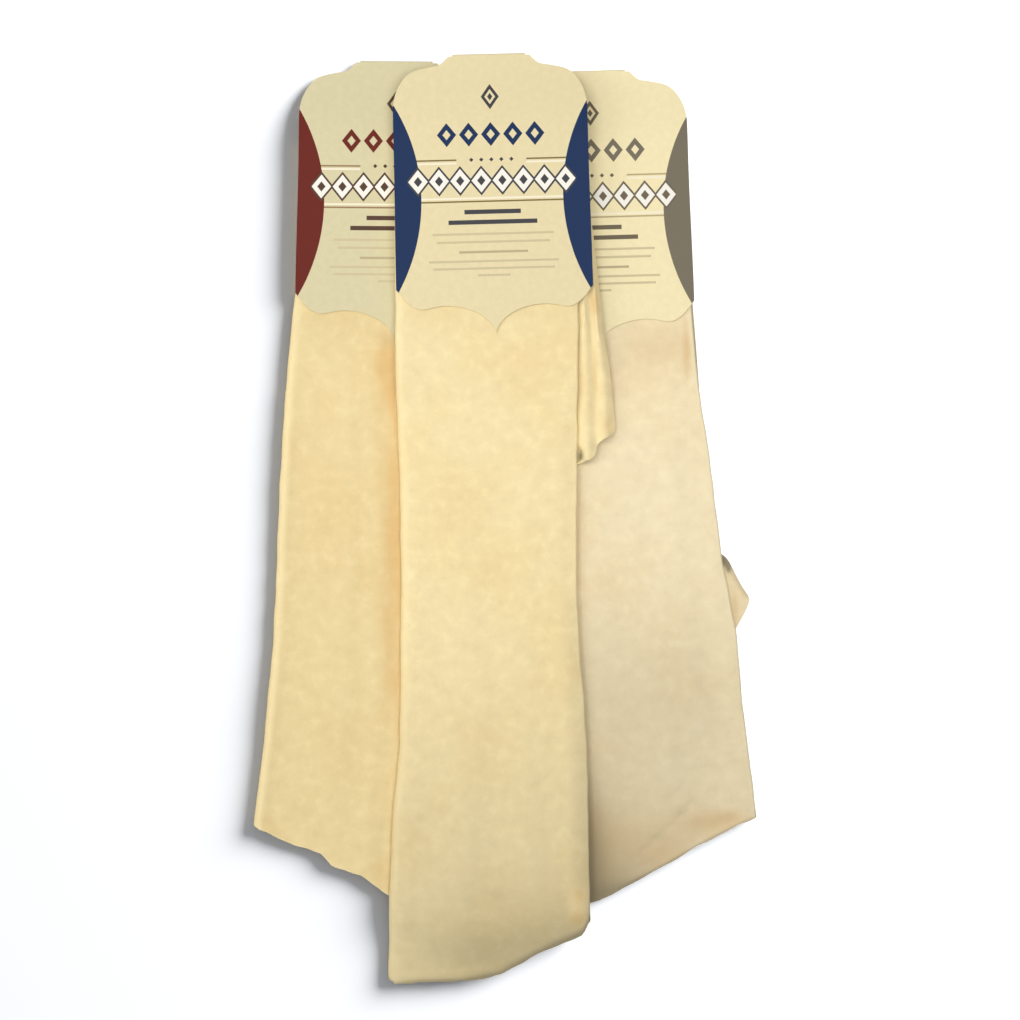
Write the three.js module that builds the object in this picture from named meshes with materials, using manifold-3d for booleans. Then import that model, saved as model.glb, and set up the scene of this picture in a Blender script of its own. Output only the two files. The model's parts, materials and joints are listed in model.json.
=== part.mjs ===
import * as THREE from 'three';
import { mergeVertices } from 'three/addons/utils/BufferGeometryUtils.js';
import Module from 'manifold-3d';

const wasm = await Module();
wasm.setup();

// A set of three chamois leathers. Each one is folded in half twice to a long strip, and its
// top end sits inside a header card that is folded in two along the flat top of its lobe and
// glued to the leather front and back. The red and brown packs lie side by side, and the
// blue pack lies over both. Millimetres, +Y along the strips towards the cards, +Z up.

// Clearance between pieces that touch
const seatGap = 0.3;

// Leather
const leatherThickness = 0.9;
const layerGap = 0.35;
const stripWidth = 90;

// Card
const cardWidth = 97;
const cardHeight = 140;
const boardThickness = 0.5;
const cardFoldRadius = 0.75;

// Glue
const glueThickness = 0.3;
const glueWidth = 40;
const glueHeight = 12;
const glueCorner = 4;

// How far below the top of the card the leather ends and the glue sits
const leatherTopDrop = 42;
const glueDrop = 64;

// How long a side strip takes to come down once it is clear of its card, and how far down
// the front strip comes to rest on the ends of the two strips under it
const sideSettleRun = 24;
const frontRestDrop = 424;

// Lengths of the three strips from their hidden top end to their lowest point
const redLength = 379;
const blueLength = 423;
const brownLength = 379;

// Lie of the packs: turns in degrees, drops of the card tops below the highest one
const redTurn = -0.45;
const blueTurn = 1.48;
const brownTurn = 1.58;
const redDrop = 2.5;
const brownDrop = 7.25;
const sideCardGap = 0.6;
const frontPlaceShare = 0.48;

// Half of the card's outline, as shares of half its width and of its height
const lobeShares = [[0.375, 0]];
const stepShares = [[0.43, 0], [0.46, 0.034], [0.54, 0.04]];
const shoulderShares = [[0.62, 0.045], [0.7, 0.049], [0.773, 0.057]];
const topCornerShares = [[0.87, 0.068], [0.985, 0.116], [1, 0.193]];
const bottomCornerShares = [[0.95, 0.86], [0.865, 0.905], [0.763, 0.911]];
const sideEndShare = 0.839;
const crestShares = [[0.69, 0.915], [0.62, 0.9], [0.515, 0.9]];
const cuspShares = [[0.3, 0.9], [0.06, 0.93], [0, 1]];

// Edges of the strips: share of the strip's length, then reach as a share of stripWidth
const redFoldShares = [
  [0, -0.53], [0.208, -0.542], [0.322, -0.577], [0.435, -0.607], [0.52, -0.626],
  [0.604, -0.64], [0.717, -0.658], [0.802, -0.7], [0.905, -0.758], [1, -0.8],
];
const redOpenShares = [[0, 0.5], [0.3, 0.5], [0.6, 0.47], [1, 0.42]];
const redUnderShares = [[0, 0.47], [0.3, 0.48], [0.6, 0.44], [1, 0.4]];
const redHemShares = [
  [0, 0.904], [0.142, 0.921], [0.303, 0.937], [0.365, 0.954], [0.507, 0.965],
  [0.64, 0.993], [0.757, 1], [1, 0.976],
];

const blueFoldShares = [
  [0, -0.537], [0.225, -0.545], [0.497, -0.551], [0.571, -0.551], [0.645, -0.567],
  [0.719, -0.59], [0.793, -0.632], [0.889, -0.677], [1, -0.701],
];
const blueOpenShares = [
  [0, 0.461], [0.23, 0.459], [0.502, 0.414], [0.594, 0.418], [0.669, 0.439],
  [0.724, 0.448], [0.873, 0.444], [0.932, 0.44], [1, 0.42],
];
// The leg of the skin that stands out from under the strip beside the card
const blueUnderShares = [
  [0, 0.44], [0.071, 0.51], [0.112, 0.549], [0.19, 0.581], [0.232, 0.592], [0.279, 0.626],
  [0.324, 0.648], [0.354, 0.652], [0.366, 0.58], [0.382, 0.52], [0.39, 0.4], [0.6, 0.39],
  [1, 0.38],
];
const blueHemShares = [
  [0, 0.997], [0.122, 0.998], [0.35, 1], [0.551, 0.993], [0.738, 0.969],
  [0.947, 0.948], [1, 0.932],
];

const brownFoldShares = [[0, -0.5], [0.3, -0.5], [0.6, -0.49], [1, -0.46]];
const brownOpenShares = [
  [0, 0.52], [0.216, 0.531], [0.309, 0.548], [0.359, 0.57], [0.41, 0.602], [0.462, 0.619],
  [0.506, 0.641], [0.54, 0.65], [0.615, 0.707], [0.649, 0.736], [0.728, 0.754],
  [0.796, 0.774], [0.883, 0.814], [1, 0.85],
];
// The small corner of the under layer that stands out halfway down
const brownUnderShares = [
  [0, 0.5], [0.41, 0.58], [0.53, 0.62], [0.545, 0.676], [0.595, 0.81], [0.625, 0.74],
  [0.65, 0.7], [0.883, 0.78], [1, 0.8],
];
const brownHemShares = [
  [0, 0.976], [0.148, 1], [0.279, 0.992], [0.47, 0.96], [0.673, 0.923], [0.783, 0.905],
  [1, 0.883],
];

// Where the section of a strip is taken, as shares of the length down to its hem
const redStationShares = [
  0, 0.12, 0.24, 0.26, 0.28, 0.3, 0.325, 0.4, 0.47, 0.54, 0.61, 0.68, 0.75, 0.82, 0.88, 0.94, 1,
];
const blueStationShares = [
  0, 0.075, 0.12, 0.18, 0.24, 0.265, 0.29, 0.32, 0.355, 0.368, 0.384, 0.392, 0.41, 0.47,
  0.54, 0.61, 0.68, 0.75, 0.82, 0.88, 0.94, 1,
];
const brownStationShares = [
  0, 0.12, 0.24, 0.26, 0.28, 0.3, 0.325, 0.4, 0.47, 0.53, 0.598, 0.618, 0.674, 0.708,
  0.735, 0.8, 0.86, 0.93, 1,
];

// Lengths of the four layers, from the one underneath to the one on top, as shares of the hem
const redLayerShares = [0.99, 0.985, 0.994, 1];
const blueLayerShares = [0.992, 0.986, 0.995, 1];
const brownLayerShares = [0.985, 0.991, 0.996, 1];

// Places across a strip where its flat layers have a vertex
const topSpreadShares = [0.14, 0.32, 0.5, 0.64, 0.76, 0.88];
const underSpreadShares = [0.3, 0.6, 0.8];
const underSeamShare = 0.93;
const innerEdgeShare = 0.95;
const outerFoldSteps = 5;
const tightFoldSteps = 3;
const curveSteps = 6;
const boardCurveSteps = 8;

// Sizes that follow from the ones above
const pitch = leatherThickness + layerGap;
const leatherHeight = 4 * leatherThickness + 3 * layerGap;
const stack = boardThickness + seatGap + glueThickness + seatGap;
const packHeight = 2 * stack + leatherHeight;
const frontBase = packHeight + seatGap;
const settleDrop = cardHeight + seatGap;
const frontSettleDepth = frontBase + stack - leatherHeight - 2 * seatGap;
const frontSlope = frontSettleDepth / (frontRestDrop - settleDrop);

const leatherColours = { red: 0xe6cd9c, blue: 0xeed9a6, brown: 0xecdcb2 };
const cardColour = 0xeeddb0;

function material(colour, roughness) {
  return new THREE.MeshStandardMaterial({ color: colour, roughness, metalness: 0 });
}

function shareAt(table, at) {
  const next = table.findIndex(([place]) => place >= at);
  if (next === 0) return table[0][1];
  if (next < 0) return table[table.length - 1][1];
  const [placeA, valueA] = table[next - 1];
  const [placeB, valueB] = table[next];
  return THREE.MathUtils.mapLinear(at, placeA, placeB, valueA, valueB);
}

// The middle line of the folded section, from the free edge underneath, round the outer
// fold, over the top layer, round the tight fold and back inside to the other free edge.
// across is the share of the way from the outer fold to the open side, and along is a
// distance added to it.
function foldedSection(layerShares) {
  const levels = layerShares.map((share, layer) => leatherThickness / 2 + layer * pitch);
  const outerRadius = (levels[3] - levels[0]) / 2;
  const tightRadius = pitch / 2;
  const foldCentre = leatherThickness / 2 + outerRadius;
  const openCentre = -leatherThickness / 2 - tightRadius;
  const nodes = [];

  function flat(across, layer, facing, under = false) {
    nodes.push({ across, along: 0, z: levels[layer], nx: 0, nz: facing, long: layerShares[layer], under });
  }
  function fold(across, along, radius, from, to, fromLayer, toLayer, facing, steps) {
    const middle = (levels[fromLayer] + levels[toLayer]) / 2;
    for (let step = 0; step <= steps; step += 1) {
      const angle = THREE.MathUtils.lerp(from, to, step / steps);
      nodes.push({
        across,
        along: along + radius * Math.cos(angle),
        z: middle + radius * Math.sin(angle),
        nx: facing * Math.cos(angle),
        nz: facing * Math.sin(angle),
        long: THREE.MathUtils.lerp(layerShares[fromLayer], layerShares[toLayer], step / steps),
        under: false,
      });
    }
  }

  const quarter = Math.PI / 2;
  flat(1, 0, -1, true);
  flat(underSeamShare, 0, -1);
  underSpreadShares.toReversed().forEach((share) => flat(share, 0, -1));
  fold(0, foldCentre, outerRadius, -quarter, -3 * quarter, 0, 3, 1, outerFoldSteps);
  topSpreadShares.forEach((share) => flat(share, 3, 1));
  fold(1, openCentre, tightRadius, quarter, -quarter, 3, 2, 1, tightFoldSteps);
  underSpreadShares.toReversed().forEach((share) => flat(share, 2, -1));
  fold(0, foldCentre, tightRadius, quarter, 3 * quarter, 2, 1, -1, tightFoldSteps);
  underSpreadShares.forEach((share) => flat(share, 1, 1));
  flat(innerEdgeShare, 1, 1);
  return nodes;
}

// A folded strip as one closed sheet of even thickness, lofted down its length.
function foldedLeather(skin) {
  const nodes = foldedSection(skin.layerShares);
  const last = nodes.length - 1;
  const rows = skin.stationShares.length - 1;
  const positions = [];
  skin.stationShares.forEach((station) => {
    nodes.forEach((node) => {
      const place = station * node.long * shareAt(skin.hemShares, node.across);
      const drop = leatherTopDrop + place * skin.length;
      const foldX = shareAt(skin.foldShares, place) * stripWidth;
      const openX = shareAt(skin.openShares, place) * stripWidth;
      const underX = shareAt(skin.underShares, place) * stripWidth;
      const x = node.under ? underX : THREE.MathUtils.lerp(foldX, openX, node.across) + node.along;
      const z = stack + node.z - skin.lowering(drop);
      const half = leatherThickness / 2;
      positions.push(x + node.nx * half, -drop, z + node.nz * half);
      positions.push(x - node.nx * half, -drop, z - node.nz * half);
    });
  });

  const outer = (row, node) => 2 * (row * nodes.length + node);
  const inner = (row, node) => outer(row, node) + 1;
  const index = [];
  const quad = (a, b, c, d) => index.push(a, b, c, a, c, d);
  for (let row = 0; row < rows; row += 1) {
    for (let node = 0; node < last; node += 1) {
      quad(outer(row, node), outer(row + 1, node), outer(row + 1, node + 1), outer(row, node + 1));
      quad(inner(row, node), inner(row, node + 1), inner(row + 1, node + 1), inner(row + 1, node));
    }
    quad(outer(row, 0), inner(row, 0), inner(row + 1, 0), outer(row + 1, 0));
    quad(outer(row, last), outer(row + 1, last), inner(row + 1, last), inner(row, last));
  }
  for (let node = 0; node < last; node += 1) {
    quad(outer(0, node), outer(0, node + 1), inner(0, node + 1), inner(0, node));
    quad(outer(rows, node), inner(rows, node), inner(rows, node + 1), outer(rows, node + 1));
  }
  const geometry = new THREE.BufferGeometry();
  geometry.setAttribute('position', new THREE.Float32BufferAttribute(positions, 3));
  geometry.setIndex(index);
  geometry.computeVertexNormals();
  return geometry;
}

function toSolid(geometry) {
  const bare = geometry.clone();
  bare.deleteAttribute('normal');
  bare.deleteAttribute('uv');
  const merged = mergeVertices(bare);
  return new wasm.Manifold(new wasm.Mesh({
    numProp: 3,
    vertProperties: new Float32Array(merged.attributes.position.array),
    triVerts: new Uint32Array(merged.index.array),
  }));
}

function toGeometry(solid) {
  const mesh = solid.getMesh();
  const geometry = new THREE.BufferGeometry();
  geometry.setAttribute('position', new THREE.BufferAttribute(mesh.vertProperties, 3));
  geometry.setIndex(new THREE.BufferAttribute(mesh.triVerts, 1));
  geometry.computeVertexNormals();
  return geometry;
}

// The outline that both leaves of a card are cut to. Its lobe runs on past the fold, so
// the board stays joined there and is cut apart everywhere else along the top.
function cardOutline() {
  const at = (side, [across, down]) => [side * across * cardWidth / 2, -down * cardHeight];
  const outline = new THREE.Shape();
  const curve = (side, [first, second, end]) => {
    outline.bezierCurveTo(...at(side, first), ...at(side, second), ...at(side, end));
  };
  const backwards = ([first, second], end) => [second, first, end];
  const lobeX = at(1, lobeShares[0])[0];
  outline.moveTo(-lobeX, boardThickness);
  outline.lineTo(-lobeX, 0);
  curve(-1, stepShares);
  curve(-1, shoulderShares);
  curve(-1, topCornerShares);
  outline.lineTo(...at(-1, [1, sideEndShare]));
  curve(-1, bottomCornerShares);
  curve(-1, crestShares);
  curve(-1, cuspShares);
  curve(1, backwards(cuspShares, crestShares[2]));
  curve(1, backwards(crestShares, bottomCornerShares[2]));
  curve(1, backwards(bottomCornerShares, [1, sideEndShare]));
  outline.lineTo(...at(1, topCornerShares[2]));
  curve(1, backwards(topCornerShares, shoulderShares[2]));
  curve(1, backwards(shoulderShares, stepShares[2]));
  curve(1, backwards(stepShares, lobeShares[0]));
  outline.lineTo(lobeX, boardThickness);
  return outline;
}

// The side view of the folded board: a flat back leaf, the fold, and a front leaf that
// rises over the end of the leather and then runs level.
function boardSideView() {
  const low = boardThickness / 2;
  const high = packHeight - boardThickness / 2;
  const foldY = -cardFoldRadius - boardThickness / 2;
  const foldTop = low + 2 * cardFoldRadius;
  const end = -cardHeight - boardThickness;
  const line = [new THREE.Vector2(end, low)];
  for (let step = 0; step <= boardCurveSteps; step += 1) {
    const angle = THREE.MathUtils.lerp(-Math.PI / 2, Math.PI / 2, step / boardCurveSteps);
    const y = foldY + cardFoldRadius * Math.cos(angle);
    line.push(new THREE.Vector2(y, low + cardFoldRadius * (1 + Math.sin(angle))));
  }
  for (let step = 1; step <= boardCurveSteps; step += 1) {
    const share = step / boardCurveSteps;
    const y = THREE.MathUtils.lerp(foldY, -leatherTopDrop, share);
    line.push(new THREE.Vector2(y, foldTop + (high - foldTop) * THREE.MathUtils.smoothstep(share, 0, 1)));
  }
  line.push(new THREE.Vector2(end, high));

  const offset = (side) => line.map((point, at) => {
    const before = line[Math.max(at - 1, 0)];
    const after = line[Math.min(at + 1, line.length - 1)];
    const way = after.clone().sub(before).normalize();
    return point.clone().add(new THREE.Vector2(way.y, -way.x).multiplyScalar(side * boardThickness / 2));
  });
  return new THREE.Shape([...offset(1), ...offset(-1).reverse()]);
}

function foldedCard() {
  const along = new THREE.ExtrudeGeometry(boardSideView(), {
    depth: cardWidth + 2 * boardThickness,
    bevelEnabled: false,
  });
  along.translate(0, 0, -cardWidth / 2 - boardThickness);
  along.applyMatrix4(new THREE.Matrix4().makeBasis(
    new THREE.Vector3(0, 1, 0),
    new THREE.Vector3(0, 0, 1),
    new THREE.Vector3(1, 0, 0),
  ));
  const cutter = new THREE.ExtrudeGeometry(cardOutline(), {
    depth: packHeight + 2 * boardThickness,
    curveSegments: curveSteps,
    bevelEnabled: false,
  });
  cutter.translate(0, 0, -boardThickness);
  return toGeometry(toSolid(along).intersect(toSolid(cutter)));
}

function glueDab() {
  const w = glueWidth / 2 - glueCorner;
  const h = glueHeight / 2 - glueCorner;
  const outline = new THREE.Shape();
  outline.absarc(w, h, glueCorner, 0, Math.PI / 2);
  outline.absarc(-w, h, glueCorner, Math.PI / 2, Math.PI);
  outline.absarc(-w, -h, glueCorner, Math.PI, 1.5 * Math.PI);
  outline.absarc(w, -h, glueCorner, 1.5 * Math.PI, 2 * Math.PI);
  return new THREE.ExtrudeGeometry(outline, {
    depth: glueThickness,
    curveSegments: curveSteps,
    bevelEnabled: false,
  });
}

function piece(name, geometry, itsMaterial) {
  const mesh = new THREE.Mesh(geometry, itsMaterial);
  mesh.name = name;
  return mesh;
}

// One pack, with the middle of its card's fold at the origin of the group.
function pack(name, skin, place) {
  const group = new THREE.Group();
  const glueMaterial = material(0xece6d2, 0.35);
  group.add(piece(`${name}_chamois`, foldedLeather(skin), material(leatherColours[name], 0.95)));
  group.add(piece(`${name}_card`, foldedCard(), material(cardColour, 0.6)));
  const backGlue = piece(`${name}_back_glue`, glueDab(), glueMaterial);
  backGlue.position.set(0, -glueDrop, boardThickness + seatGap);
  const frontGlue = piece(`${name}_front_glue`, glueDab(), glueMaterial.clone());
  frontGlue.position.set(0, -glueDrop, packHeight - boardThickness - seatGap - glueThickness);
  group.add(backGlue, frontGlue);
  group.position.set(place.x, place.y, place.z);
  group.rotation.z = THREE.MathUtils.degToRad(place.turn);
  return group;
}

// A side strip comes down to the surface. The front strip slopes down in a straight line.
const onSurface = (drop) => stack * THREE.MathUtils.smoothstep(drop, settleDrop, settleDrop + sideSettleRun);
const onPacks = (drop) => frontSlope * Math.max(drop - settleDrop, 0);

const redSkin = {
  length: redLength,
  foldShares: redFoldShares,
  openShares: redOpenShares,
  underShares: redUnderShares,
  hemShares: redHemShares,
  stationShares: redStationShares,
  layerShares: redLayerShares,
  lowering: onSurface,
};
const blueSkin = {
  length: blueLength,
  foldShares: blueFoldShares,
  openShares: blueOpenShares,
  underShares: blueUnderShares,
  hemShares: blueHemShares,
  stationShares: blueStationShares,
  layerShares: blueLayerShares,
  lowering: onPacks,
};
const brownSkin = {
  length: brownLength,
  foldShares: brownFoldShares,
  openShares: brownOpenShares,
  underShares: brownUnderShares,
  hemShares: brownHemShares,
  stationShares: brownStationShares,
  layerShares: brownLayerShares,
  lowering: onSurface,
};

// The two side cards are butted together at the top of their straight sides, and lean
// apart below that. The front card lies over the joint.
const sine = (turn) => Math.sin(THREE.MathUtils.degToRad(turn));
const straightDrop = topCornerShares[2][1] * cardHeight;
const spacing = cardWidth + sideCardGap - straightDrop * (sine(brownTurn) - sine(redTurn));

const part = new THREE.Group();
part.add(pack('red', redSkin, { x: 0, y: -redDrop, z: 0, turn: redTurn }));
part.add(pack('brown', brownSkin, { x: spacing, y: -brownDrop, z: 0, turn: brownTurn }));
part.add(pack('blue', blueSkin, { x: frontPlaceShare * spacing, y: 0, z: frontBase, turn: blueTurn }));

// The origin is the middle of the whole set, on the surface that it lies on.
part.updateMatrixWorld(true);
const reach = new THREE.Box3().setFromObject(part, true);
part.position.set(-(reach.min.x + reach.max.x) / 2, -(reach.min.y + reach.max.y) / 2, -reach.min.z);

export default part;
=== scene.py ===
import json
import math
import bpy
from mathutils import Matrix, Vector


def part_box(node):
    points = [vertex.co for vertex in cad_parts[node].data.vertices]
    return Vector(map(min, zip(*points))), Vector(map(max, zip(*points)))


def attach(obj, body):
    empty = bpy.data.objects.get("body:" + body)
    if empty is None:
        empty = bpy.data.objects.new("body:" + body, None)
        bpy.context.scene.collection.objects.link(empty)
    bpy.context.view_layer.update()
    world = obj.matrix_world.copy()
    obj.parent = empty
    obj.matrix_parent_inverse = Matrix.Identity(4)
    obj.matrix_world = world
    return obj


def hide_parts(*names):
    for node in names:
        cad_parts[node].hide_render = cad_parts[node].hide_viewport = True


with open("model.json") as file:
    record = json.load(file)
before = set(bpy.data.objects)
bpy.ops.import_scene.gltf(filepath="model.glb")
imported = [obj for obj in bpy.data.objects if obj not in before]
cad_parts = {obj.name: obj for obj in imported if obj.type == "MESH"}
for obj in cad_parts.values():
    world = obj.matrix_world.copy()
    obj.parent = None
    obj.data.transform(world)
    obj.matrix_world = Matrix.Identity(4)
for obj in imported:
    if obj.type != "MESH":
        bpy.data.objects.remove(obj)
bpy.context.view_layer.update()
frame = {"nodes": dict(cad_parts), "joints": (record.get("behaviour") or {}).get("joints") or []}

from types import SimpleNamespace

import bpy
import numpy as np
from mathutils import Matrix, Vector, noise

# The three packs. Each one is a leather and the header card that holds it, and is worked
# out in millimetres in its own frame, from the middle of the card's fold: x to the right,
# and the strip running down. The drop of a place is how far it is below the fold.
MM = 0.001
PACKS = ("red", "brown", "blue")
GLUE_DROP = 64
strip_axes = {joint["name"]: Vector(joint["axis"]) for joint in frame["joints"]}


def pack_place(pack):
    """Where a pack's own frame lies on the table, from its glue, its card and its joint."""
    low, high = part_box(f"{pack}_back_glue")
    axis = strip_axes[f"{pack}_card_off"]
    top = (low + high) / 2 + axis * GLUE_DROP * MM
    lift = Matrix.Translation((top.x, top.y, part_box(f"{pack}_card")[0].z))
    return lift @ Matrix.Rotation(math.atan2(-axis.x, axis.y), 4, "Z")


places = {pack: pack_place(pack) for pack in PACKS}

# The leathers: oil-tanned skins, soft and napped, cut to shape and folded in half twice to
# a strip of four layers. The outer fold is on the left and the cut edges are on the right.
# The top end is glued inside the card, and below it the strip comes down on what it lies on.
LEATHER = 0.9
LAYER_STEP = 1.25
STRIP_WIDTH = 90
TOP_DROP = 42

# The drop of the card's lower edge, how high the card holds the lowest layer, the reach of
# the rounded outer fold, and the share of the width at which the lowest layer's seam lies
CARD_END = 140.3
IN_CARD = 1.4
ROLL = 3.2
SEAM = 0.93

# How far the front strip comes down, and how far its lower end droops from which drop on
FRONT_DROP = 3.9
END_DROOP = 3.4
END_DROOP_FROM = 421

# The swell of the outer folds, and of the side strips beside the front one
fold_puff = {"red": 2.3, "brown": 1.3, "blue": 0.55}
BESIDE_PUFF = 0.8

# The flap at the right edge of the brown strip, and the rolls in the front one's tail
FLAP_LIFT = 2.4
TAIL_ROLL = 3.4

# Rows of points down a strip, and the place in a row from which the flat cut is measured
SKIN_ROWS = 220
CUT_START = 40

# The strips as the photograph shows them. Edges: share of the way down, then reach as a
# share of the width. Hem: share of the way across, then share of the length. Layers: the
# share of that length that each has, from the lowest to the top one. Fine: places where
# the outline is fine, and how far round them.
skins = {
    "red": {
        "length": 379,
        "fold": [
            (0, -0.53), (0.18, -0.546), (0.222, -0.566), (0.322, -0.603), (0.435, -0.629),
            (0.52, -0.643), (0.604, -0.652), (0.67, -0.666), (0.717, -0.683), (0.802, -0.713),
            (0.905, -0.765), (1, -0.803),
        ],
        "open": [(0, 0.5), (0.3, 0.5), (0.6, 0.47), (1, 0.42)],
        "under": [(0, 0.47), (0.3, 0.48), (0.6, 0.44), (1, 0.4)],
        "hem": [
            (0, 0.909), (0.142, 0.926), (0.303, 0.94), (0.365, 0.957), (0.507, 0.969),
            (0.64, 0.995), (0.757, 1.002), (1, 0.979),
        ],
        "layers": (0.99, 0.985, 0.994, 1),
        "fine": [(1, 0.03)],
        "seed": 3.1,
    },
    "brown": {
        "length": 379,
        "fold": [(0, -0.5), (0.3, -0.5), (0.6, -0.49), (1, -0.46)],
        "open": [
            (0, 0.52), (0.216, 0.536), (0.309, 0.563), (0.359, 0.589), (0.41, 0.616),
            (0.462, 0.635), (0.506, 0.657), (0.54, 0.666), (0.615, 0.719), (0.649, 0.74),
            (0.728, 0.757), (0.796, 0.785), (0.883, 0.821), (1, 0.857),
        ],
        "under": [
            (0, 0.5), (0.41, 0.59), (0.53, 0.64), (0.5375, 0.68), (0.543, 0.702),
            (0.553, 0.723), (0.566, 0.748), (0.581, 0.78), (0.594, 0.818), (0.603, 0.81),
            (0.6135, 0.788), (0.6265, 0.756), (0.64, 0.722), (0.65, 0.705), (0.883, 0.78),
            (1, 0.8),
        ],
        "hem": [
            (0, 0.976), (0.148, 1), (0.279, 0.99), (0.47, 0.961), (0.587, 0.944),
            (0.673, 0.93), (0.783, 0.913), (0.848, 0.904), (1, 0.8855),
        ],
        "layers": (0.985, 0.991, 0.996, 1),
        "fine": [(0.595, 0.06), (1, 0.03)],
        "seed": 8.6,
    },
    "blue": {
        "length": 423,
        "fold": [
            (0, -0.537), (0.225, -0.557), (0.3, -0.562), (0.36, -0.557), (0.497, -0.56),
            (0.571, -0.57), (0.645, -0.582), (0.719, -0.596), (0.793, -0.64), (0.889, -0.675),
            (1, -0.694),
        ],
        "open": [
            (0, 0.461), (0.23, 0.459), (0.502, 0.414), (0.594, 0.418), (0.669, 0.439),
            (0.724, 0.448), (0.873, 0.444), (0.932, 0.44), (1, 0.42),
        ],
        "under": [
            (0, 0.44), (0.071, 0.51), (0.112, 0.549), (0.19, 0.581), (0.232, 0.592),
            (0.279, 0.626), (0.324, 0.642), (0.345, 0.65), (0.353, 0.645), (0.358, 0.6),
            (0.364, 0.555), (0.372, 0.54), (0.381, 0.53), (0.387, 0.47), (0.392, 0.4),
            (0.6, 0.39), (1, 0.38),
        ],
        "hem": [
            (0, 0.999), (0.05, 0.9975), (0.122, 0.9965), (0.35, 0.9975), (0.551, 0.9905),
            (0.738, 0.968), (0.947, 0.948), (0.977, 0.945), (1, 0.929),
        ],
        "layers": (0.992, 0.986, 0.995, 1),
        "fine": [(0.37, 0.035), (1, 0.025)],
        "seed": 5.4,
    },
}

# Soft ridges pressed into the leathers, with painted shade along them and painted highlight on
# their tops: way points in the pack's frame, width, height
creases = {
    "red": [
        ([(-52, -170), (-30, -178), (-8, -172)], 3, 0.25),
        ([(-58, -262), (-36, -254), (-20, -260)], 4, 0.3),
        ([(-24, -150), (-22, -260), (-26, -380)], 5, 0.35),
    ],
    "brown": [
        ([(14, -293), (28, -291.5), (44, -293)], 1.6, 0.35),
        ([(16, -297), (30, -296), (36, -296.5)], 1.4, 0.3),
        ([(22, -180), (40, -214), (52, -222)], 4, 0.35),
        ([(34, -150), (38, -240), (48, -330)], 6, 0.4),
        ([(42, -368), (30, -380), (14, -394)], 1.3, -0.5),
    ],
    "blue": [
        ([(-27, -163), (-10, -180), (20, -186)], 2.4, 0.35),
        ([(-6, -158), (8, -164), (30, -160)], 2.2, 0.25),
        ([(-20, -240), (-14, -330), (-22, -430)], 7, 0.4),
        ([(16, -200), (10, -290), (14, -400)], 7, 0.35),
        ([(-30, -210), (-4, -216), (22, -208)], 3, 0.2),
    ],
}

# Tanned and dusky spots on the leathers, some of them painted shade: place in the pack's frame,
# reach each way, strength
tan_and_shade_spots = {
    "red": [
        # (-4, -141) is painted warm shade under the red card's point
        (-4, -141, 5, 5, 0.5), (-6, -406, 5, 5, 0.35), (-64, -382, 6, 4, 0.3),
        (-8, -372, 6, 12, 0.1),
    ],
    "brown": [
        (52, -379, 15, 5, 0.5), (60, -377, 6, 3, 0.3), (26, -396, 12, 7, 0.3),
        (29, -140, 24, 13, 0.5), (45, -144, 1.8, 17, 0.6), (30, -385, 60, 22, 0.4),
        (66, -272, 2, 8, 0.5),
    ],
    "blue": [
        (34.5, -421.8, 3, 5, 0.8), (33.5, -434, 4.5, 4, 0.9), (9.5, -170, 8, 4, 0.25),
        (11, -205, 5, 8, 0.22), (49.4, -126, 2.4, 8, 0.9), (49.4, -160, 1.5, 16, 0.6),
        (54, -187, 2, 4, 0.6),
    ],
}
dusky_and_shade_spots = {
    "red": [
        # (-4, -141) is painted shade under the red card's point
        (-4, -141, 4, 4, 0.15), (-6, -392, 6, 14, 0.12), (-40, -420, 60, 150, 0.08),
    ],
    "brown": [
        # (36, -374) and (24, -386) are painted shade along the crease near the hem
        (36, -374, 3, 1.4, 0.08), (24, -386, 4, 1.6, 0.1), (29, -140, 24, 10, 0.07),
        # (61.6, -248.6) and (63.2, -252) are painted shade along the flap's top edge
        (61.6, -248.6, 1.5, 2.6, 1.0), (63.2, -252, 1.3, 2.6, 0.8),
    ],
    "blue": [
        (-47.2, -214.6, 2, 5, 0.16), (-43.5, -226.7, 2, 3, 0.12), (-45.4, -380.7, 2.6, 3, 0.09),
        # (41, -202.5) and (50, -198) are painted shadow in the hollows under the tail's end
        (-6.9, -419.7, 5, 3, 0.07), (-20, -450, 22, 9, 0.08), (41, -202.5, 1.9, 3.4, 0.9),
        (50, -198, 2.6, 2.2, 0.3), (34.5, -428, 5, 12, -0.3),
    ],
}


def ease(value, start, run):
    """From 0 to 1, softly, over a run that begins at start."""
    share = np.clip((value - start) / run, 0, 1)
    return share * share * (3 - 2 * share)


def hump(value, wide):
    """1 at nothing, and softly down to 0 on both sides of it."""
    return np.exp(-((value / wide) ** 2))


def ripple(x, y, wide, long, seed):
    """Soft uneven waves of a width and a length, always the same for one seed."""
    spread = zip(x.ravel(), y.ravel())
    values = [noise.noise(Vector((a / wide, b / long, seed))) for a, b in spread]
    return np.array(values).reshape(x.shape)


def wander(drop, long, seed):
    """Waves that run down a strip and are the same all across it."""
    return ripple(np.zeros_like(drop), drop, 1, long, seed)


def ridge(x, y, way, wide, high):
    nearest = np.full(x.shape, 1e9)
    for (ax, ay), (bx, by) in zip(way, way[1:]):
        dx, dy = bx - ax, by - ay
        share = np.clip(((x - ax) * dx + (y - ay) * dy) / (dx * dx + dy * dy), 0, 1)
        nearest = np.minimum(nearest, np.hypot(x - ax - share * dx, y - ay - share * dy))
    return high * hump(nearest, wide)


def spots(x, y, listed):
    total = np.zeros_like(x)
    for middle_x, middle_y, wide, long, strength in listed:
        total += strength * np.exp(-(((x - middle_x) / wide) ** 2) - ((y - middle_y) / long) ** 2)
    return total


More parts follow.
